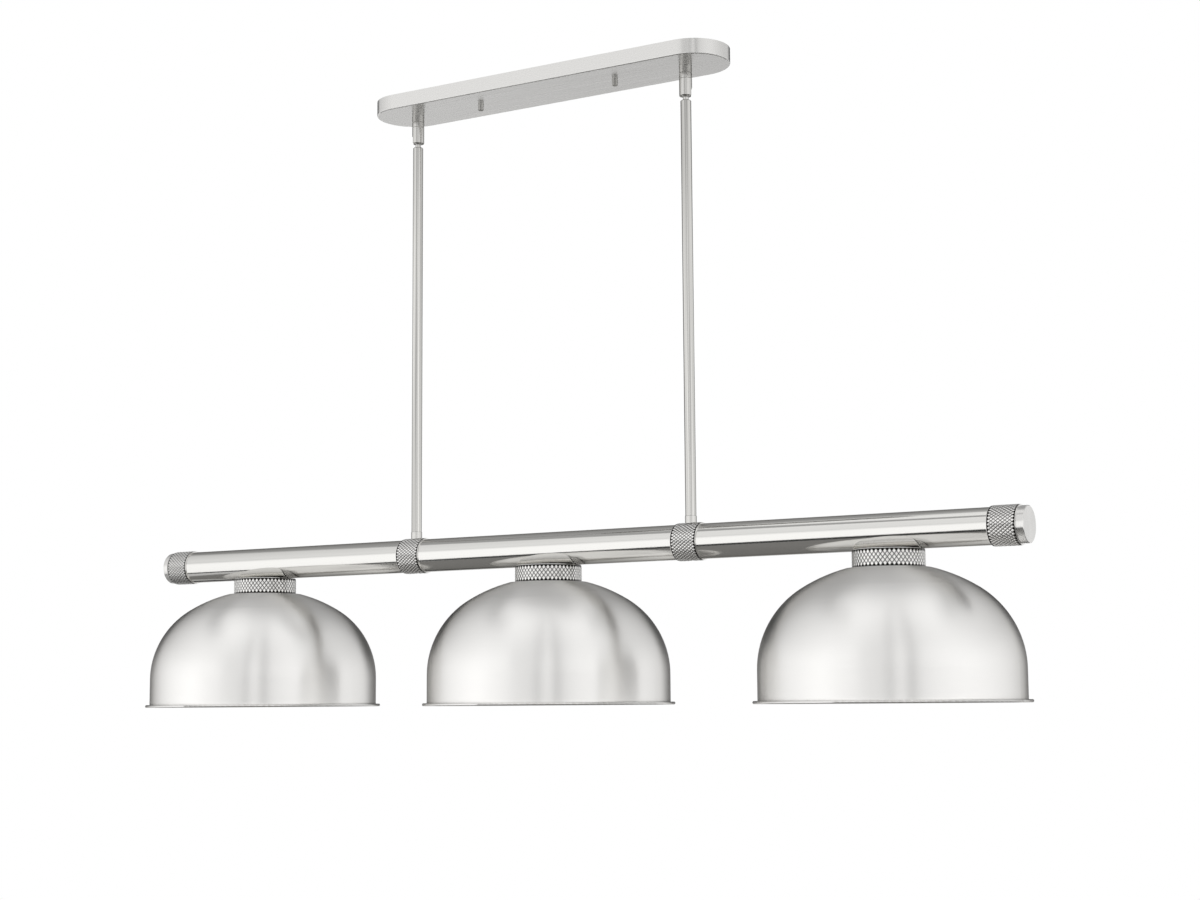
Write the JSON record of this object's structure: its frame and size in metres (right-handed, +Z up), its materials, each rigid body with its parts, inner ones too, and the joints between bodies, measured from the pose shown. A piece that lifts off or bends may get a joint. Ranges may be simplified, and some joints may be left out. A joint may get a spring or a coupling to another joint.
{
  "type": "billiard light",
  "caption": "Hanging light for a long table: flat canopy, straight rods on ball swivels, a horizontal tube and round dome shades under knurled holders.",
  "frame": {"origin": "on the ceiling, at the middle of the mounting strap's two box screw slots", "axes": "+X along the horizontal tube, +Y across it, +Z up into the ceiling"},
  "size_m": [1.42, 0.356, 0.91],
  "materials": {
    "satin_nickel": "satin brushed nickel plate",
    "spun_nickel": "spun steel, brushed round and nickel plated",
    "bar_nickel": "polished lengthwise, nickel plated",
    "knurled_nickel": "diamond knurled, satin nickel plate",
    "turned_nickel": "turned and brushed, nickel plated",
    "zinc_steel": "zinc plated steel",
    "green_steel": "green passivated ground screw",
    "socket_porcelain": "glazed porcelain",
    "contact_brass": "bright rolled brass",
    "bulb_glass": "frosted glass",
    "bulb_metal": "bright drawn aluminium",
    "lead_sleeve": "white vinyl sleeve",
    "wire_cover": "vinyl insulation",
    "connector_plastic": "moulded nylon"
  },
  "bodies": {
    "ceiling_mount": {"mounting_strap": "zinc_steel", "strap_studs": "zinc_steel", "ground_screw": "green_steel", "canopy": "satin_nickel", "canopy_nipples": "zinc_steel", "canopy_washers": "zinc_steel", "canopy_nuts": "zinc_steel", "swivel_ring_left": "turned_nickel", "swivel_ring_right": "turned_nickel", "swivel_clips": "zinc_steel", "canopy_leads": "wire_cover", "wire_connectors": "connector_plastic"},
    "barrel_left": {"swivel_barrel_left": "turned_nickel"},
    "cap_nut_left": {"cap_nut_left": "turned_nickel"},
    "barrel_right": {"swivel_barrel_right": "turned_nickel"},
    "cap_nut_right": {"cap_nut_right": "turned_nickel"},
    "bulb_left": {"bulb_globe_left": "bulb_glass", "bulb_base_left": "bulb_metal"},
    "bulb_middle": {"bulb_globe_middle": "bulb_glass", "bulb_base_middle": "bulb_metal"},
    "bulb_right": {"bulb_globe_right": "bulb_glass", "bulb_base_right": "bulb_metal"},
    "lamp": {"ball_stud_left": "turned_nickel", "ball_stud_right": "turned_nickel", "bar_leads": "lead_sleeve", "bar_splice": "connector_plastic", "bar_tube": "bar_nickel", "centre_contacts": "contact_brass", "end_cap_left": "turned_nickel", "end_cap_right": "turned_nickel", "end_collar_left": "knurled_nickel", "end_collar_right": "knurled_nickel", "head_nipples": "zinc_steel", "head_nuts": "zinc_steel", "head_saddle_washers": "zinc_steel", "rod_collar_left": "knurled_nickel", "rod_collar_right": "knurled_nickel", "rod_ferrule_left": "turned_nickel", "rod_ferrule_right": "turned_nickel", "rod_lead": "lead_sleeve", "rod_left": "satin_nickel", "rod_nipples": "zinc_steel", "rod_nuts": "zinc_steel", "rod_right": "satin_nickel", "rod_saddle_washers": "zinc_steel", "screw_shells": "contact_brass", "shade_holder_left": "knurled_nickel", "shade_holder_middle": "knurled_nickel", "shade_holder_right": "knurled_nickel", "shade_left": "spun_nickel", "shade_middle": "spun_nickel", "shade_nuts": "zinc_steel", "shade_right": "spun_nickel", "shade_washers": "zinc_steel", "socket_husk_left": "satin_nickel", "socket_husk_middle": "satin_nickel", "socket_husk_right": "satin_nickel", "socket_insulator_left": "socket_porcelain", "socket_insulator_middle": "socket_porcelain", "socket_insulator_right": "socket_porcelain"}
  },
  "joints": [
    {"name": "lamp_swing", "type": "hinge", "parent": "ceiling_mount", "child": "lamp", "pos_m": [0, 0, -0.0615], "axis": [1, 0, 0], "range_deg": [-20, 20]},
    {"name": "barrel_turn_left", "type": "hinge", "parent": "ceiling_mount", "child": "barrel_left", "pos_m": [-0.231, 0, -0.05], "axis": [0, 0, 1], "range_deg": [-165, 165]},
    {"name": "barrel_turn_right", "type": "hinge", "parent": "ceiling_mount", "child": "barrel_right", "pos_m": [0.231, 0, -0.05], "axis": [0, 0, 1], "range_deg": [-165, 165]},
    {"name": "cap_nut_unscrew_left", "type": "slide", "parent": "ceiling_mount", "child": "cap_nut_left", "axis": [0, 0, -1], "range_m": [0, 0.0072]},
    {"name": "cap_nut_unscrew_right", "type": "slide", "parent": "ceiling_mount", "child": "cap_nut_right", "axis": [0, 0, -1], "range_m": [0, 0.0072]},
    {"name": "bulb_unscrew_left", "type": "slide", "parent": "lamp", "child": "bulb_left", "axis": [0, 0, -1], "range_m": [0, 0.02]},
    {"name": "bulb_unscrew_middle", "type": "slide", "parent": "lamp", "child": "bulb_middle", "axis": [0, 0, -1], "range_m": [0, 0.02]},
    {"name": "bulb_unscrew_right", "type": "slide", "parent": "lamp", "child": "bulb_right", "axis": [0, 0, -1], "range_m": [0, 0.02]}
  ]
}
